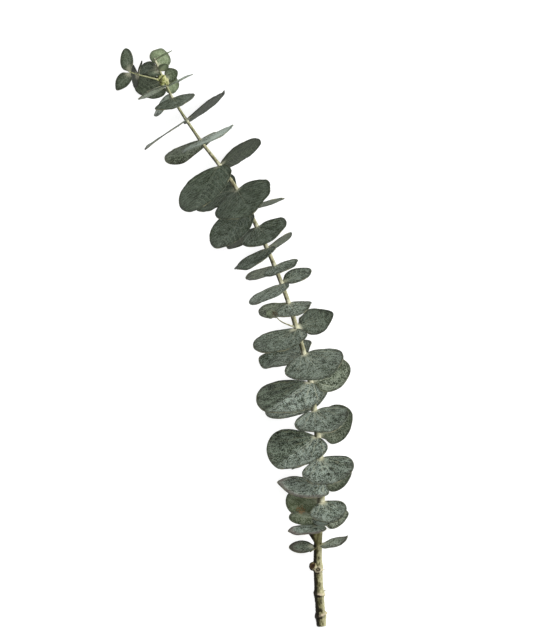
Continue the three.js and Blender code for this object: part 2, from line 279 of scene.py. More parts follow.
# Places where a margin is drawn out to a point or swells: the leaf, which way from its middle,
# how far in mm, how wide a part follows in mm, and the form.
POINT = "SHARP"
SWELL = "SMOOTH"
DRAWN_MARGINS = (
    ("leaf_01_right", (0.95, 0.30, 0.0), (0.2, 2.4, 0.4), 7, POINT),
    ("leaf_01_right", (0.30, -1.0, 0.0), (0.0, -0.7, 0.0), 9, SWELL),
    ("leaf_02_front", (-1.0, -0.10, 0.0), (-1.8, -0.5, 0.0), 14, POINT),
    ("leaf_04_back", (0.60, 0.80, 0.0), (0.4, 1.4, 0.0), 10, POINT),
    ("leaf_05_front", (-1.0, 0.15, 0.0), (-3.0, 0.2, 0.0), 22, POINT),
    ("leaf_08_back", (1.0, 0.30, 0.0), (-1.2, -2.5, 0.0), 10, SWELL),
    ("leaf_10_back", (-0.30, -1.0, 0.0), (0.9, -1.0, 0.0), 14, SWELL),
    ("leaf_10_back", (1.0, 0.50, 0.0), (1.4, 0.2, 0.0), 10, SWELL),
    ("leaf_10_back", (0.39, -0.92, 0.0), (0.3, -3.4, 0.0), 25, SWELL),
    ("leaf_11_back", (-0.70, 0.70, 0.0), (0.6, -1.6, 0.0), 9, SWELL),
    ("leaf_12_front", (1.0, -0.60, 0.0), (-0.6, 1.3, 0.0), 11, POINT),
    ("leaf_14_front", (1.0, -0.60, 0.0), (-0.6, 1.6, 0.0), 7, POINT),
    ("leaf_15_front", (-1.0, -0.10, 0.0), (-1.5, -1.0, 0.0), 8, POINT),
    ("leaf_18_front", (0.90, -0.40, 0.0), (1.2, -0.6, 0.0), 10, SWELL),
    ("leaf_21_back", (0.80, 0.60, 0.0), (0.2, 1.7, 0.0), 9, POINT),
    ("leaf_24_left", (0.50, 0.85, 0.0), (1.2, 2.0, 0.0), 6, POINT),
    ("leaf_24_right", (-0.60, 0.80, 0.0), (-1.0, 0.6, 0.0), 6, SWELL),
    ("leaf_25_left", (0.50, 0.85, 0.0), (0.4, 1.2, 0.0), 5, POINT),
    ("leaf_26_left", (1.0, 0.10, 0.0), (1.8, 0.0, 0.0), 7, POINT),
)


def paint(red, green, blue):
    """A colour as it looks on a print, turned into the amounts of light that a shader mixes."""
    def light(value):
        share = value / 255
        return share / 12.92 if share <= 0.04045 else ((share + 0.055) / 1.055) ** 2.4

    return (light(red), light(green), light(blue), 1.0)


# Colours of the leaves.
OLIVE = paint(80, 84, 52)
OLIVE_PALE = paint(118, 122, 92)
FRESH_GREEN = paint(124, 140, 100)
FRESH_PALE = paint(160, 176, 138)
MAUVE = paint(134, 122, 118)
DARK_MARGIN = paint(48, 54, 38)
# Pale dry margin, partly a painted highlight along the edges.
DRY_MARGIN_AND_HIGHLIGHT = paint(156, 152, 122)
EDGE_BROWN = paint(98, 94, 74)
EDGE_CREAM = paint(180, 175, 146)
# Multiplied in as painted shade on the half nearer the branch's tip.
TIPWARD_SHADE_COLOUR = paint(166, 170, 156)
# Multiplied in as painted shade over a whole leaf.
PAINTED_LEAF_SHADE = paint(150, 152, 146)
# Cream of the callus, partly painted light at the leaf bases and the stem's joints.
CALLUS_WITH_PAINTED_LIGHT = paint(222, 220, 192)
# Deep green, green of the blade, wax and veins of each face.
UPPER_FACE = (paint(14, 22, 11), paint(72, 85, 66), paint(197, 211, 199), paint(192, 196, 172))
LOWER_FACE = (paint(17, 25, 12), paint(75, 87, 65), paint(183, 193, 173), paint(172, 178, 150))
# Stains on the blades: middle, radius and colour.
BLEMISHES = (
    ((0.0495, -0.1298, 0.0), 3.6 * MM, paint(150, 116, 76)),
    ((0.0510, -0.0480, 0.0), 1.0 * MM, paint(28, 32, 28)),
    ((0.0303, 0.0174, 0.0), 2.2 * MM, paint(96, 76, 46)),
)

# Colours of the stem.
UPPER_STREAKS = (paint(112, 108, 78), paint(188, 184, 152))
LOWER_STREAKS = (paint(84, 80, 46), paint(176, 172, 134))
BUD_STREAKS = (paint(118, 124, 52), paint(212, 214, 150))
TIP_GREEN = paint(150, 158, 112)
MOSS = paint(88, 86, 44)
DARK_BLOT = paint(58, 52, 32)
DARKEST_BLOT = paint(40, 37, 18)
PALE_LIP = paint(210, 194, 168)
# Painted shade in the crease under each ring scar's lip.
SHADE_UNDER_LIP = paint(34, 22, 14)
# Painted shade on the stem among the leaves.
SHADE_AMONG_LEAVES = paint(112, 114, 92)
LIT_SIDE = paint(216, 212, 170)
# Painted shade on the stem's left side.
PAINTED_LEFT_SHADE = paint(24, 20, 7)
# Painted shadow of the second pair on the stem.
PAIR_SHADE = paint(76, 74, 38)
# Painted shade on the left around the dark wedge.
WEDGE_PAINTED_SHADE = paint(36, 29, 22)
# Spots in each other on the knob's end and on the ring scar: radius in mm, strength and colour.
KNOB_SPOTS = ((3.0, 0.6, paint(120, 96, 62)), (1.9, 1.0, paint(58, 40, 26)))
SCAR_SPOTS = (
    (3.0, 0.7, paint(210, 200, 168)),
    (2.0, 0.95, paint(34, 28, 20)),
    (0.8, 0.8, paint(136, 128, 92)),
)

# Greys and white of the board and the room.
BOARD_GREYS = ((0.40, 0.40, 0.40, 1.0), (0.43, 0.43, 0.43, 1.0))
WHITE = (1.0, 1.0, 1.0, 1.0)


# Nodes of a finish.

def blank_finish(name):
    finish = bpy.data.materials.new(name)
    finish.use_nodes = True
    tree = finish.node_tree
    shader = next(n for n in tree.nodes if n.type == "BSDF_PRINCIPLED")
    return finish, tree, shader


def feed(tree, socket, value):
    if isinstance(value, bpy.types.NodeSocket):
        tree.links.new(value, socket)
    else:
        socket.default_value = value


def step(tree, kind, inputs=None, **settings):
    node = tree.nodes.new(kind)
    for key, value in settings.items():
        setattr(node, key, value)
    for key, value in (inputs or {}).items():
        feed(tree, node.inputs[key], value)
    return node


def math_step(tree, way, first, second=0.0):
    return step(tree, "ShaderNodeMath", {0: first, 1: second}, operation=way).outputs[0]


def plus(tree, first, second):
    return math_step(tree, "ADD", first, second)


def minus(tree, first, second):
    return math_step(tree, "SUBTRACT", first, second)


def times(tree, first, second):
    return math_step(tree, "MULTIPLY", first, second)


def less(tree, value):
    return minus(tree, 1.0, value)


def away_from(tree, value, middle):
    return math_step(tree, "ABSOLUTE", minus(tree, value, middle))


def share_between(tree, value, low, high):
    """0 below low, 1 above high, with a soft change in between."""
    inputs = {"Value": value, "From Min": low, "From Max": high, "To Min": 0.0, "To Max": 1.0}
    node = step(tree, "ShaderNodeMapRange", inputs, interpolation_type="SMOOTHSTEP")
    return node.outputs["Result"]


def fading(tree, value, low, high):
    """1 below low, 0 above high, with a soft change in between."""
    return less(tree, share_between(tree, value, low, high))


def grain(tree, where, size, detail=2.0, roughness=0.5):
    """Noise whose lumps are about as wide as size."""
    inputs = {"Vector": where, "Scale": 1 / size, "Detail": detail, "Roughness": roughness}
    return step(tree, "ShaderNodeTexNoise", inputs).outputs["Fac"]


def mixed(tree, share, first, second, way="MIX"):
    node = step(tree, "ShaderNodeMix", data_type="RGBA", blend_type=way)
    sockets = {s.identifier: s for s in node.inputs}
    feed(tree, sockets["Factor_Float"], share)
    feed(tree, sockets["A_Color"], first)
    feed(tree, sockets["B_Color"], second)
    return next(s for s in node.outputs if s.identifier == "Result_Color")


def stained(tree, colour, share, strength, stain):
    return mixed(tree, times(tree, share, strength), colour, stain)


def marked(tree, name):
    return step(tree, "ShaderNodeAttribute", attribute_name=name).outputs["Fac"]


def vector_step(tree, way, first, second, result="Vector"):
    node = step(tree, "ShaderNodeVectorMath", {0: first, 1: second}, operation=way)
    return node.outputs[result]


def height_of(tree, where):
    return step(tree, "ShaderNodeSeparateXYZ", {0: where}).outputs[1]


def spot(tree, where, place, radius, flat=True):
    """1 inside a ragged round spot, 0 outside it; a flat one goes through from top to bottom."""
    off = vector_step(tree, "SUBTRACT", where, tuple(place))
    if flat:
        off = vector_step(tree, "MULTIPLY", off, (1.0, 1.0, 0.0))
    away = vector_step(tree, "LENGTH", off, (0.0, 0.0, 0.0), "Value")
    ragged = minus(tree, grain(tree, where, RAGGED_SIZE, 2.0), 0.5)
    away = plus(tree, away, times(tree, ragged, radius))
    return fading(tree, away, 0.6 * radius, 1.1 * radius)


def leaf_finish(name, deep, body, wax, vein):
    """Matt waxy leaf: pale bloom in fine grains over a dark green, pale veins, a dark margin."""
    finish, tree, shader = blank_finish(name)
    where = step(tree, "ShaderNodeTexCoord").outputs["Object"]
    blade = step(tree, "ShaderNodeUVMap", uv_map="blade").outputs["UV"]
    cross = step(tree, "ShaderNodeSeparateXYZ", {0: blade}).outputs
    along, sideways = cross[0], cross[1]
    across = math_step(tree, "ABSOLUTE", sideways)
    rim = marked(tree, "rim")
    reach = marked(tree, "reach")
    tint_node = step(tree, "ShaderNodeAttribute", attribute_name="leaf_tint")
    tint = step(tree, "ShaderNodeSeparateColor", {0: tint_node.outputs["Color"]}).outputs
    bloom, olive, mauve, fresh = tint[0], tint[1], tint[2], tint_node.outputs["Alpha"]

    # Green of the blade under the wax.
    patches = share_between(tree, grain(tree, where, PATCH_SIZE, 3.0, 0.6), 0.36, 0.66)
    bare = times(tree, fading(tree, bloom, 0.1, 0.9), 0.6)
    under = mixed(tree, plus(tree, times(tree, patches, 0.45), bare), deep, body)
    under = stained(tree, under, olive, 0.7, OLIVE)
    under = stained(tree, under, fresh, 0.8, FRESH_GREEN)

    # Bloom: pale wax in fine grains, in streaks that fan out from the base and in wider clouds.
    turn = math_step(tree, "ARCTAN2", sideways, plus(tree, along, 0.2))
    spokes = {
        0: times(tree, turn, 14.0),
        1: times(tree, reach, 5.0),
        2: times(tree, height_of(tree, where), 60.0),
    }
    spokes = step(tree, "ShaderNodeCombineXYZ", spokes).outputs[0]
    streaks = grain(tree, spokes, 1.0, 3.0, 0.6)
    fine = grain(tree, where, SPECK_SIZE, 2.0, 0.6)
    wide = grain(tree, where, CLOUD_SIZE, 2.0, 0.5)
    lumps = plus(tree, times(tree, fine, 0.56), times(tree, streaks, 0.24))
    lumps = plus(tree, lumps, times(tree, wide, 0.20))
    cover = plus(tree, times(tree, patches, 0.16), 0.04)
    thick = times(tree, share_between(tree, bloom, 0.8, 2.0), cover)
    powder = share_between(tree, plus(tree, lumps, thick), 0.475, 0.545)
    worn = times(tree, share_between(tree, reach, 0.15, 0.95), 0.4)
    coat = times(tree, bloom, minus(tree, 1.15, worn))
    pale = mixed(tree, coat, body, wax)
    pale = stained(tree, pale, olive, 0.55, OLIVE_PALE)
    pale = stained(tree, pale, fresh, 0.9, FRESH_PALE)
    colour = mixed(tree, powder, under, pale)
    moved = {"Vector": where, "Location": GRANULES_MOVED}
    moved = step(tree, "ShaderNodeMapping", moved).outputs[0]
    granules = share_between(tree, grain(tree, moved, GRANULE_SIZE, 2.0, 0.6), 0.54, 0.66)
    colour = stained(tree, colour, times(tree, granules, bloom), 0.45, wax)

    # Side veins leave the midrib and bend toward the tip.
    bend = times(tree, math_step(tree, "POWER", across, 1.3), 0.62)
    wander = times(tree, grain(tree, where, VEIN_WANDER, 2.0), 0.22)
    course = plus(tree, minus(tree, along, bend), wander)
    beat = math_step(tree, "FRACT", times(tree, course, VEINS_EACH_CM))
    ridge = times(tree, away_from(tree, beat, 0.5), 2.0)
    side_veins = times(tree, share_between(tree, ridge, 0.80, 0.98), 0.28)
    colour = mixed(tree, side_veins, colour, vein)

    # Fine veins fan out from the base.
    crooked = plus(tree, turn, times(tree, grain(tree, where, FAN_WANDER, 2.0), 0.35))
    spoke = math_step(tree, "FRACT", times(tree, crooked, FAN_VEINS))
    spoke = times(tree, away_from(tree, spoke, 0.5), 2.0)
    spread = fading(tree, reach, 0.15, 0.7)
    fan = times(tree, times(tree, share_between(tree, spoke, 0.76, 0.95), spread), bloom)
    colour = stained(tree, colour, fan, 0.9, vein)

    # Midrib: widest and palest where it leaves the stem.
    width = plus(tree, times(tree, less(tree, reach), 0.05), 0.014)
    line = fading(tree, math_step(tree, "DIVIDE", across, width), 0.2, 1.0)
    fade = fading(tree, reach, 0.1, 0.8)
    midrib = times(tree, line, plus(tree, times(tree, fade, 0.65), 0.2))
    midrib = times(tree, midrib, plus(tree, times(tree, bloom, 0.65), 0.3))
    colour = mixed(tree, midrib, colour, vein)

    # Painted shade: the half nearer the branch's tip is darker.
    tipward_shade = mixed(tree, 1.0, colour, TIPWARD_SHADE_COLOUR, "MULTIPLY")
    colour = mixed(tree, marked(tree, "leaf_half"), colour, tipward_shade)

    # Mauve flush, dark band and dry stretches of the margin, partly a painted highlight, then the
    # depth of painted shade.
    flush = times(tree, fading(tree, rim, 0.5, 6.0), mauve)
    flush = times(tree, flush, share_between(tree, reach, 0.2, 0.75))
    colour = mixed(tree, flush, colour, MAUVE)
    colour = stained(tree, colour, fading(tree, rim, 0.3, 3.2), 0.6, DARK_MARGIN)
    # Dry margin, partly a painted highlight along the edges.
    stretch = share_between(tree, grain(tree, where, DRY_STRETCH, 3.0, 0.6), 0.48, 0.60)
    dry_margin_and_highlight = times(tree, fading(tree, rim, 0.25, 0.6), stretch)
    colour = stained(tree, colour, dry_margin_and_highlight, 0.45, DRY_MARGIN_AND_HIGHLIGHT)
    # Painted shade over the whole blade, as deep as the leaf's depth.
    painted_shade_colour = mixed(tree, 1.0, colour, PAINTED_LEAF_SHADE, "MULTIPLY")
    colour = mixed(tree, marked(tree, "leaf_painted_shade"), colour, painted_shade_colour)

    # Cream callus where the blade sits on the stem, partly painted light over the shade there, and
    # stains.
    callus_with_painted_light = times(tree, fading(tree, along, 0.25, 0.75), fading(tree, across, 0.08, 0.42))
    colour = mixed(tree, times(tree, callus_with_painted_light, marked(tree, "callus_with_painted_light")), colour, CALLUS_WITH_PAINTED_LIGHT)
    flecks = share_between(tree, grain(tree, where, FLECK_SIZE, 2.0), 0.35, 0.65)
    flecks = times(tree, flecks, 0.85)
    for place, radius, stain in BLEMISHES:
        colour = stained(tree, colour, spot(tree, where, place, radius), flecks, stain)
    tree.links.new(colour, shader.inputs["Base Color"])

    roughness = plus(tree, times(tree, powder, 0.15), 0.58)
    tree.links.new(roughness, shader.inputs["Roughness"])
    shader.inputs["Specular IOR Level"].default_value = 0.14
    relief = plus(tree, times(tree, fine, 0.6), times(tree, side_veins, -1.2))
    bump = {"Strength": 0.35, "Distance": 0.3 * MM, "Height": relief}
    bump = step(tree, "ShaderNodeBump", bump)
    tree.links.new(bump.outputs["Normal"], shader.inputs["Normal"])
    return finish


def edge_finish():
    """Thin dry margin of a blade, brown with cream stretches."""
    finish, tree, shader = blank_finish("leaf_edge")
    where = step(tree, "ShaderNodeTexCoord").outputs["Object"]
    stretch = share_between(tree, grain(tree, where, DRY_STRETCH, 3.0, 0.6), 0.45, 0.60)
    colour = mixed(tree, stretch, EDGE_BROWN, EDGE_CREAM)
    tree.links.new(colour, shader.inputs["Base Color"])
    shader.inputs["Roughness"].default_value = 0.7
    shader.inputs["Specular IOR Level"].default_value = 0.2
    return finish


def bark_finish():
    """Grey-cream bark with olive streaks, painted shade on its left and painted light on its
    right; pale ring scars, a green tip.
    """
    finish, tree, shader = blank_finish("stem_bark")
    where = step(tree, "ShaderNodeTexCoord").outputs["Object"]
    height = height_of(tree, where)
    drawn = {"Vector": where, "Scale": (1.0, 0.35, 1.0)}
    drawn = step(tree, "ShaderNodeMapping", drawn).outputs[0]
    streaks = share_between(tree, grain(tree, drawn, STREAK_SIZE, 4.0, 0.7), 0.38, 0.62)
    upper = mixed(tree, streaks, *UPPER_STREAKS)
    lower = mixed(tree, streaks, *LOWER_STREAKS)
    colour = mixed(tree, share_between(tree, height, *UPPER_BARK), lower, upper)
    colour = stained(tree, colour, share_between(tree, height, *GREEN_TIP), 0.55, TIP_GREEN)
    bud = spot(tree, where, Vector(BUD[0]) * MM, BUD[1] * MM)
    crumpled = share_between(tree, grain(tree, where, CRUMPLE_SIZE, 2.0), 0.38, 0.62)
    colour = stained(tree, colour, bud, 0.9, mixed(tree, crumpled, *BUD_STREAKS))

    # Olive moss and dark blots low down.
    low_down = fading(tree, height, *MOSS_ENDS)
    moss = share_between(tree, grain(tree, where, MOSS_SIZE, 2.0, 0.6), 0.48, 0.62)
    colour = stained(tree, colour, times(tree, moss, low_down), 0.6, MOSS)
    blots = share_between(tree, grain(tree, where, BLOT_SIZE, 3.0, 0.65), 0.58, 0.66)
    colour = stained(tree, colour, times(tree, blots, low_down), 0.85, DARK_BLOT)

    # Pale lip of each ring scar, painted shade in the crease under it, and the darkest blots.
    chips = times(tree, grain(tree, where, CHIP_SIZE, 2.0), 0.6 * MM)
    for lip, _, _, _, way_up in COLLARS:
        away = vector_step(tree, "SUBTRACT", where, tuple(Vector(lip) * MM))
        axis = tuple(Vector(way_up).normalized())
        off = plus(tree, vector_step(tree, "DOT_PRODUCT", away, axis, "Value"), chips)
        pale_lip = fading(tree, away_from(tree, off, 1.2 * MM), 0.4 * MM, 1.3 * MM)
        colour = stained(tree, colour, pale_lip, 0.75, PALE_LIP)
        # Painted shade in the crease just under the lip.
        shade_under_lip = fading(tree, away_from(tree, off, -0.4 * MM), 0.6 * MM, 1.4 * MM)
        colour = stained(tree, colour, shade_under_lip, 0.95, SHADE_UNDER_LIP)
    for place, radius in BARK_BLOTS:
        blot = spot(tree, where, Vector(place) * MM, radius * MM)
        colour = stained(tree, colour, blot, 0.95, DARKEST_BLOT)

    # Painted shade along the length among the leaves, painted light on the right side, and the
    # cream joints, partly painted light.
    shade_among_leaves = share_between(tree, height, *LEAVES_START)
    shade_among_leaves = times(tree, shade_among_leaves, fading(tree, height, *LEAVES_THIN_OUT))
    colour = stained(tree, colour, shade_among_leaves, 0.6, SHADE_AMONG_LEAVES)
    # Painted light on the side whose normal faces right.
    turned = step(tree, "ShaderNodeNewGeometry").outputs["Normal"]
    right = step(tree, "ShaderNodeSeparateXYZ", {0: turned}).outputs[0]
    colour = stained(tree, colour, share_between(tree, right, 0.15, 0.75), 0.5, LIT_SIDE)
    # Cream joints on the stem: callus, partly painted light where the leaves sit.
    ragged = times(tree, minus(tree, grain(tree, where, CHIP_SIZE), 0.5), 0.5)
    joint = share_between(tree, plus(tree, marked(tree, "joint"), ragged), 0.15, 0.6)
    joint = times(tree, joint, share_between(tree, height, *CALLUS_WITH_PAINTED_LIGHT_STARTS))
    colour = stained(tree, colour, joint, 0.8, CALLUS_WITH_PAINTED_LIGHT)

    # Painted shade on the left side, stronger low down, the painted shadow under the second pair,
    # and painted shade on the left around the dark wedge.
    shaded_left = share_between(tree, times(tree, right, -1.0), -0.12, 0.5)
    left_shade_strength = plus(tree, times(tree, low_down, 0.25), 0.72)
    colour = stained(tree, colour, shaded_left, left_shade_strength, PAINTED_LEFT_SHADE)
    # Painted shadow under the second pair.
    shade = fading(tree, away_from(tree, height, SHADED_PAIR), 3 * MM, 6 * MM)
    colour = stained(tree, colour, shade, 0.75, PAIR_SHADE)
    wedge_shade = spot(tree, where, Vector(DARK_WEDGE[1]) * MM, 6.0 * MM)
    colour = stained(tree, colour, times(tree, wedge_shade, shaded_left), 0.9, WEDGE_PAINTED_SHADE)

    # The knob's end and the round scar beside it.
    for radius, strength, stain in KNOB_SPOTS:
        knob_end = spot(tree, where, Vector(KNOB[1]) * MM, radius * MM, flat=False)
        colour = stained(tree, colour, knob_end, strength, stain)
    for radius, strength, stain in SCAR_SPOTS:
        scar = spot(tree, where, RING_SCAR, radius * MM)
        colour = stained(tree, colour, scar, strength, stain)
    tree.links.new(colour, shader.inputs["Base Color"])
    shader.inputs["Roughness"].default_value = 0.65
    shader.inputs["Specular IOR Level"].default_value = 0.12
    bump = {"Strength": 0.5, "Distance": 0.3 * MM, "Height": streaks}
    bump = step(tree, "ShaderNodeBump", bump)
    tree.links.new(bump.outputs["Normal"], shader.inputs["Normal"])
    return finish


def board_finish():
    """White board lit from below as well, so that shadows on it stay faint."""
    finish, tree, shader = blank_finish("white_board")
    where = step(tree, "ShaderNodeTexCoord").outputs["Object"]
    colour = mixed(tree, grain(tree, where, BOARD_CLOUDS, 2.0), *BOARD_GREYS)
    tree.links.new(colour, shader.inputs["Base Color"])
    shader.inputs["Roughness"].default_value = 0.9
    shader.inputs["Specular IOR Level"].default_value = 0.0
    shader.inputs["Emission Color"].default_value = WHITE
    shader.inputs["Emission Strength"].default_value = BOARD_GLOW
    return finish


# Shaping.

def only(piece):
    bpy.ops.object.select_all(action="DESELECT")
    piece.select_set(True)
    bpy.context.view_layer.objects.active = piece


def copied(node, name):
    """A piece that starts as a CAD node's form, with its loose triangles joined."""
    piece = bpy.data.objects.new(name, nodes[node].data.copy())
    bpy.context.scene.collection.objects.link(piece)
    piece.data.materials.clear()
    only(piece)
    bpy.ops.mesh.customdata_custom_splitnormals_clear()
    bpy.ops.object.mode_set(mode="EDIT")
    bpy.ops.mesh.select_mode(type="FACE")
    bpy.ops.mesh.select_all(action="SELECT")
    bpy.ops.mesh.remove_doubles(threshold=MERGE)
    bpy.ops.mesh.faces_shade_smooth()
    bpy.ops.mesh.mark_sharp(clear=True)
    bpy.ops.object.mode_set(mode="OBJECT")
    return piece


def shaped(piece, kind, **settings):
    """Adds one modifier to the piece and applies it."""
    only(piece)
    modifier = piece.modifiers.new(kind.lower(), kind)
    for key, value in settings.items():
        setattr(modifier, key, value)
    bpy.ops.object.modifier_apply(modifier=modifier.name)


def cloud(name, size, depth=2):
    texture = bpy.data.textures.new(name, "CLOUDS")
    texture.noise_scale = size
    texture.noise_depth = depth
    return texture


def weighted(piece, name, weights):
    group = piece.vertex_groups.new(name=name)
    for index, weight in enumerate(weights):
        if weight > LEAST_WEIGHT:
            group.add([index], min(weight, 1.0), "REPLACE")


def upper_skin(piece):
    """Frees the blade's upper skin from its rim and lower skin, and joins triangles into quads."""
    bpy.ops.object.mode_set(mode="EDIT")
    bpy.ops.mesh.select_mode(type="EDGE")
    bpy.ops.mesh.select_all(action="DESELECT")
    bpy.ops.mesh.edges_select_sharp(sharpness=RIM_ANGLE)
    bpy.ops.mesh.mark_seam(clear=False)
    bpy.ops.mesh.select_mode(type="FACE")
    bpy.ops.mesh.select_all(action="DESELECT")
    bpy.ops.object.mode_set(mode="OBJECT")
    faces = piece.data.polygons
    up = max(faces, key=lambda face: face.area).normal.copy()
    if up.z < 0:
        up.negate()
    upward = [face for face in faces if face.normal.dot(up) > FACES_UP]
    max(upward, key=lambda face: face.area).select = True
    bpy.ops.object.mode_set(mode="EDIT")
    bpy.ops.mesh.select_linked(delimit={"SEAM"})
    bpy.ops.mesh.select_all(action="INVERT")
    bpy.ops.mesh.delete(type="FACE")
    bpy.ops.mesh.select_all(action="SELECT")
    bpy.ops.mesh.mark_seam(clear=True)
    bpy.ops.mesh.tris_convert_to_quads(face_threshold=QUAD_BEND, shape_threshold=QUAD_SKEW)
    bpy.ops.object.mode_set(mode="OBJECT")


def outline_edges(mesh):
    uses = {}
    for face in mesh.polygons:
        for key in face.edge_keys:
            uses[key] = uses.get(key, 0) + 1
    return [edge for edge in mesh.edges if uses.get(edge.key) == 1]


def stem_near(mesh):
    """Middle of the stem beside the blade, and the direction in which the stem grows there."""
    gaps = [stem_tree.find(v.co) for v in mesh.vertices]
    touch = min(gaps, key=lambda gap: gap[2])[0]
    ring = [stem_tree_points[i] for _, i, _ in stem_tree.find_range(touch, STEM_NEAR)]
    middle = sum(ring, Vector()) / len(ring)
    wide = [stem_tree_points[i] for _, i, _ in stem_tree.find_range(touch, STEM_STRETCH)]
    ahead = [p for p in wide if p.y > middle.y]
    behind = [p for p in wide if p.y <= middle.y]
    if not ahead or not behind:
        return middle, Vector((0, 1, 0))
    grows = sum(ahead, Vector()) / len(ahead) - sum(behind, Vector()) / len(behind)
    return middle, grows.normalized()


def stalk(piece, middle):
    """Draws the blade's base in to a short stalk that ends inside the stem."""
    bpy.ops.object.mode_set(mode="EDIT")
    bpy.ops.mesh.select_mode(type="EDGE")
    bpy.ops.mesh.select_all(action="DESELECT")
    bpy.ops.object.mode_set(mode="OBJECT")
    mesh = piece.data
    edges = outline_edges(mesh)
    rim = {i for edge in edges for i in edge.vertices}
    base = min(rim, key=lambda i: (mesh.vertices[i].co - middle).length)
    for edge in edges:
        edge.select = base in edge.vertices
    start = mesh.vertices[base].co.copy()
    pull = (middle - start) * STALK_SINKS
    bpy.ops.object.mode_set(mode="EDIT")
    bpy.ops.mesh.extrude_region_move(TRANSFORM_OT_translate={"value": pull})
    narrow = (STALK_NARROWS,) * 3
    bpy.ops.transform.resize(value=narrow, center_override=start + pull)
    bpy.ops.object.mode_set(mode="OBJECT")


def drawn_out(piece, side, pull, reach, form):
    """Pulls the blade's outermost place on one side, and the margin beside it."""
    bpy.ops.object.mode_set(mode="EDIT")
    bpy.ops.mesh.select_mode(type="VERT")
    bpy.ops.mesh.select_all(action="DESELECT")
    bpy.ops.object.mode_set(mode="OBJECT")
    max(piece.data.vertices, key=lambda v: v.co.dot(Vector(side))).select = True
    bpy.ops.object.mode_set(mode="EDIT")
    bpy.ops.transform.translate(
        value=Vector(pull) * MM, use_proportional_edit=True,
        proportional_edit_falloff=form, proportional_size=reach * MM,
    )
    bpy.ops.object.mode_set(mode="OBJECT")


def finish_of(name):
    if name in OWN_FINISH:
        return OWN_FINISH[name]
    if not name.startswith("leaf_"):
        return SIDE_FINISH
    pair = int(name.split("_")[1])
    return next(finish for last, finish in PAIR_FINISH if pair <= last)


def mark(mesh, name, kind, field, values):
    layer = mesh.attributes.new(name, kind, "POINT")
    layer.data.foreach_set(field, values)


def leaf(name):
    """One leaf: a smooth blade with a grooved midrib, a rippled margin and a short stalk."""
    piece = copied(name, name + "_blade")
    upper_skin(piece)
    middle, grows = stem_near(piece.data)
    stalk(piece, middle)
    shaped(piece, "SUBSURF", levels=BLADE_SMOOTHING, render_levels=BLADE_SMOOTHING)
    for owner, *drawing in DRAWN_MARGINS:
        if owner == name:
            drawn_out(piece, *drawing)
    leaf_seats.append(middle)

    mesh = piece.data
    points = [v.co.copy() for v in mesh.vertices]
    area = sum(face.area for face in mesh.polygons)
    centre = sum((face.center * face.area for face in mesh.polygons), Vector()) / area
    facing = sum((face.normal * face.area for face in mesh.polygons), Vector()).normalized()
    ahead = centre - middle
    ahead = (ahead - facing * ahead.dot(facing)).normalized()
    sideways = facing.cross(ahead)
    along = [(p - middle).dot(ahead) for p in points]
    across = [(p - middle).dot(sideways) for p in points]
    length = max(along)
    rim_points = {i for edge in outline_edges(mesh) for i in edge.vertices}
    rim_tree = kdtree.KDTree(len(rim_points))
    for i in rim_points:
        rim_tree.insert(points[i], i)
    rim_tree.balance()
    rim = [rim_tree.find(p)[2] for p in points]

    sheet = mesh.uv_layers.new(name="blade")
    spots = []
    for corner in mesh.loops:
        spots += [along[corner.vertex_index] / CM, across[corner.vertex_index] / CM]
    sheet.data.foreach_set("uv", spots)
    bloom, olive, mauve, fresh, depth = finish_of(name)
    tipward = math.copysign(1.0, sideways.dot(grows))
    tipward_shade = TIPWARD_PAINTED_SHADE.get(name, USUAL_PAINTED_SHADE)
    # Painted shade on the half nearer the branch's tip.
    half = [tipward_shade * min(max(c * tipward / PAINTED_SHADE_FADE, 0), 1) for c in across]
    mark(mesh, "rim", "FLOAT", "value", [r / MM for r in rim])
    mark(mesh, "reach", "FLOAT", "value", [max(a, 0) / length for a in along])
    mark(mesh, "leaf_half", "FLOAT", "value", half)
    mark(mesh, "leaf_tint", "FLOAT_COLOR", "color", [bloom, olive, mauve, fresh] * len(points))
    # Depth of the painted shade over the whole leaf.
    mark(mesh, "leaf_painted_shade", "FLOAT", "value", [depth] * len(points))
    # Cream callus at the base, partly painted light.
    callus_with_painted_light = LEAVES_WITH_CALLUS_AND_PAINTED_LIGHT.get(name, FAINT_CALLUS_WITH_PAINTED_LIGHT)
    mark(mesh, "callus_with_painted_light", "FLOAT", "value", [callus_with_painted_light] * len(points))

    weighted(piece, "midrib", [
        math.exp(-((c / GROOVE_HALF_WIDTH) ** 2)) * (1 - GROOVE_FADES * max(a, 0) / length)
        for a, c in zip(along, across)
    ])
    free = [min(max(a, 0) / (STIFF_BASE * length), 1) for a in along]
    share = length / FULLY_RIPPLED
    weighted(piece, "margin", [
        f * share * max(0, 1 - r / RIPPLE_REACH) for f, r in zip(free, rim)
    ])
    weighted(piece, "blade", [f * share for f in free])
    shaped(piece, "DISPLACE", strength=-GROOVE_DEPTH, mid_level=0.0, vertex_group="midrib")
    shaped(piece, "DISPLACE", strength=RIPPLE, mid_level=0.5, vertex_group="margin",
           texture=ripple_cloud, texture_coords="LOCAL")
    shaped(piece, "DISPLACE", strength=PUCKER, mid_level=0.5, vertex_group="blade",
           texture=pucker_cloud, texture_coords="LOCAL")
    shaped(piece, "SOLIDIFY", thickness=BLADE_THICKNESS, offset=-1.0, use_rim=True,
           material_offset=1, material_offset_rim=2)
    faces = (leaf_face, leaf_back) if facing.dot(grows) > 0 else (leaf_back, leaf_face)
    for finish in (*faces, leaf_edge):
        piece.data.materials.append(finish)
    piece.vertex_groups.clear()
    only(piece)
    bpy.ops.object.shade_smooth_by_angle(angle=SMOOTH_ANGLE)
    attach(piece, "root")
    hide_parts(name)


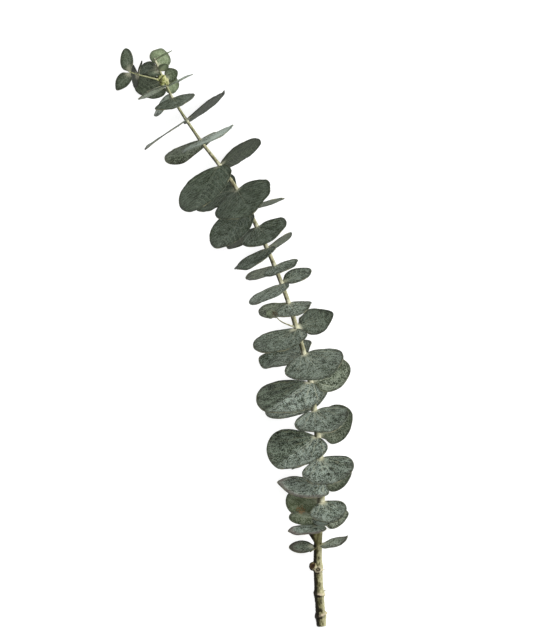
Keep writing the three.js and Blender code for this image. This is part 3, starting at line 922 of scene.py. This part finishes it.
def frustum(low, high, low_radius, high_radius):
    """A cone with its top cut off, from one middle to the other; sizes in mm."""
    low, high = Vector(low) * MM, Vector(high) * MM
    bpy.ops.object.select_all(action="DESELECT")
    bpy.ops.mesh.primitive_cone_add(
        vertices=CONE_SIDES, radius1=low_radius * MM, radius2=high_radius * MM,
        depth=(high - low).length, location=(low + high) / 2,
        rotation=(high - low).to_track_quat("Z", "Y").to_euler(),
    )
    return bpy.context.object


def outgrowths():
    """Flared ring scars, the knob, clasping stalk, dark wedge, dry hairs, and the bud's scales."""
    made = []
    for lip, flare, neck, tall, way_up in COLLARS:
        top = Vector(lip) + Vector(way_up).normalized() * tall
        made.append(frustum(lip, top, flare, neck))
    for ends_and_radii in (KNOB, CLASPING_STALK, DARK_WEDGE, *DRY_HAIRS, BUD_STALK):
        made.append(frustum(*ends_and_radii))
    for middle, radius in BUD_SCALES:
        bpy.ops.object.select_all(action="DESELECT")
        bpy.ops.mesh.primitive_ico_sphere_add(
            subdivisions=3, radius=radius * MM, location=Vector(middle) * MM,
        )
        made.append(bpy.context.object)
    return made


def bark_stem():
    """The stem with its rings, stub, bud, twig and shoot, rounded and given a bark."""
    piece = copied("stem", "bark_stem")
    bpy.ops.object.mode_set(mode="EDIT")
    bpy.ops.mesh.select_all(action="SELECT")
    bpy.ops.mesh.tris_convert_to_quads(
        face_threshold=BARK_QUAD_BEND, shape_threshold=BARK_QUAD_SKEW,
    )
    bpy.ops.mesh.select_mode(type="EDGE")
    bpy.ops.mesh.select_all(action="DESELECT")
    bpy.ops.object.mode_set(mode="OBJECT")
    mesh = piece.data
    cut = {v.index for v in mesh.vertices if v.co.y < cad_low[1] + CUT_END}
    middle = sum((mesh.vertices[i].co for i in cut), Vector()) / len(cut)
    ring = {i for i in cut if (mesh.vertices[i].co - middle).length > CUT_END}
    for edge in mesh.edges:
        edge.select = set(edge.vertices) <= ring
    bpy.ops.object.mode_set(mode="EDIT")
    bpy.ops.transform.edge_crease(value=1.0)
    bpy.ops.object.mode_set(mode="OBJECT")
    shaped(piece, "SUBSURF", levels=STEM_SMOOTHING, render_levels=STEM_SMOOTHING)
    weighted(piece, "girth", [
        TIP_GIRTH + (1 - TIP_GIRTH) * min(max(v.co.y / BARE_TOP, 0), 1)
        for v in piece.data.vertices
    ])
    shaped(piece, "DISPLACE", strength=GIRTH_BACK, mid_level=0.0, vertex_group="girth")
    grown = outgrowths()
    only(piece)
    for part in grown:
        part.select_set(True)
    bpy.ops.object.join()
    shaped(piece, "REMESH", mode="VOXEL", voxel_size=BARK_VOXEL)
    shaped(piece, "SMOOTH", factor=0.5, iterations=BARK_SOFTENING)
    weighted(piece, "bare", [
        min(max((BARE_TOP - v.co.y) / BARE_FADE, YOUNG_RELIEF), 1)
        for v in piece.data.vertices
    ])
    shaped(piece, "DISPLACE", strength=BARK_RELIEF, mid_level=0.5, vertex_group="bare",
           texture=bark_cloud, texture_coords="LOCAL")
    piece.vertex_groups.clear()
    seats = kdtree.KDTree(len(leaf_seats))
    for index, seat in enumerate(leaf_seats):
        seats.insert(seat, index)
    seats.balance()
    mark(piece.data, "joint", "FLOAT", "value", [
        max(0, 1 - seats.find(v.co)[2] / JOINT_REACH) for v in piece.data.vertices
    ])
    piece.data.materials.clear()
    piece.data.materials.append(stem_bark)
    only(piece)
    bpy.ops.object.shade_smooth()
    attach(piece, "root")
    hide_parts("stem")


def white_board():
    bpy.ops.object.select_all(action="DESELECT")
    bpy.ops.mesh.primitive_plane_add(size=BOARD_SIZE, location=(0, 0, 0))
    board = bpy.context.object
    board.name = "white_board"
    board.data.materials.append(board_finish())


def lamp(name, place, size, power):
    """A round soft lamp that shines at the middle of the branch."""
    light = bpy.data.lights.new(name, "AREA")
    light.shape = "DISK"
    light.size = size
    light.energy = power
    holder = bpy.data.objects.new(name, light)
    bpy.context.scene.collection.objects.link(holder)
    holder.location = place
    holder.rotation_euler = (-Vector(place)).to_track_quat("-Z", "Y").to_euler()
    holder.visible_camera = False


def studio():
    world = bpy.data.worlds.new("white_room")
    bpy.context.scene.world = world
    world.use_nodes = True
    sky = next(n for n in world.node_tree.nodes if n.type == "BACKGROUND")
    sky.inputs["Color"].default_value = WHITE
    sky.inputs["Strength"].default_value = ROOM_GLOW
    for name, lamp_values in LAMPS.items():
        lamp(name, *lamp_values)
    scene = bpy.context.scene
    scene.view_settings.view_transform = "Standard"
    scene.view_settings.look = "None"


def camera_above():
    """Straight above the middle of the photograph's frame, with a long lens."""
    lens = bpy.data.cameras.new("camera_above")
    lens.sensor_width = SENSOR_WIDTH
    lens.lens = LENS_LENGTH
    lens.clip_end = SEEN_AS_FAR_AS
    holder = bpy.data.objects.new("camera_above", lens)
    bpy.context.scene.collection.objects.link(holder)
    distance = FRAME_HEIGHT * LENS_LENGTH / SENSOR_WIDTH
    holder.location = (*FRAME_MIDDLE, LEAF_LEVEL + distance)
    bpy.context.scene.camera = holder


stem_tree_points = [v.co.copy() for v in nodes["stem"].data.vertices]
stem_tree = kdtree.KDTree(len(stem_tree_points))
for index, point in enumerate(stem_tree_points):
    stem_tree.insert(point, index)
stem_tree.balance()

leaf_seats = []
ripple_cloud = cloud("ripple", RIPPLE_SIZE)
pucker_cloud = cloud("pucker", PUCKER_SIZE)
bark_cloud = cloud("bark", BARK_LUMP, 3)
leaf_face = leaf_finish("leaf_face", *UPPER_FACE)
leaf_back = leaf_finish("leaf_back", *LOWER_FACE)
leaf_edge = edge_finish()
stem_bark = bark_finish()

for name in sorted(nodes):
    if name == "stem":
        bark_stem()
    else:
        leaf(name)
white_board()
studio()
camera_above()
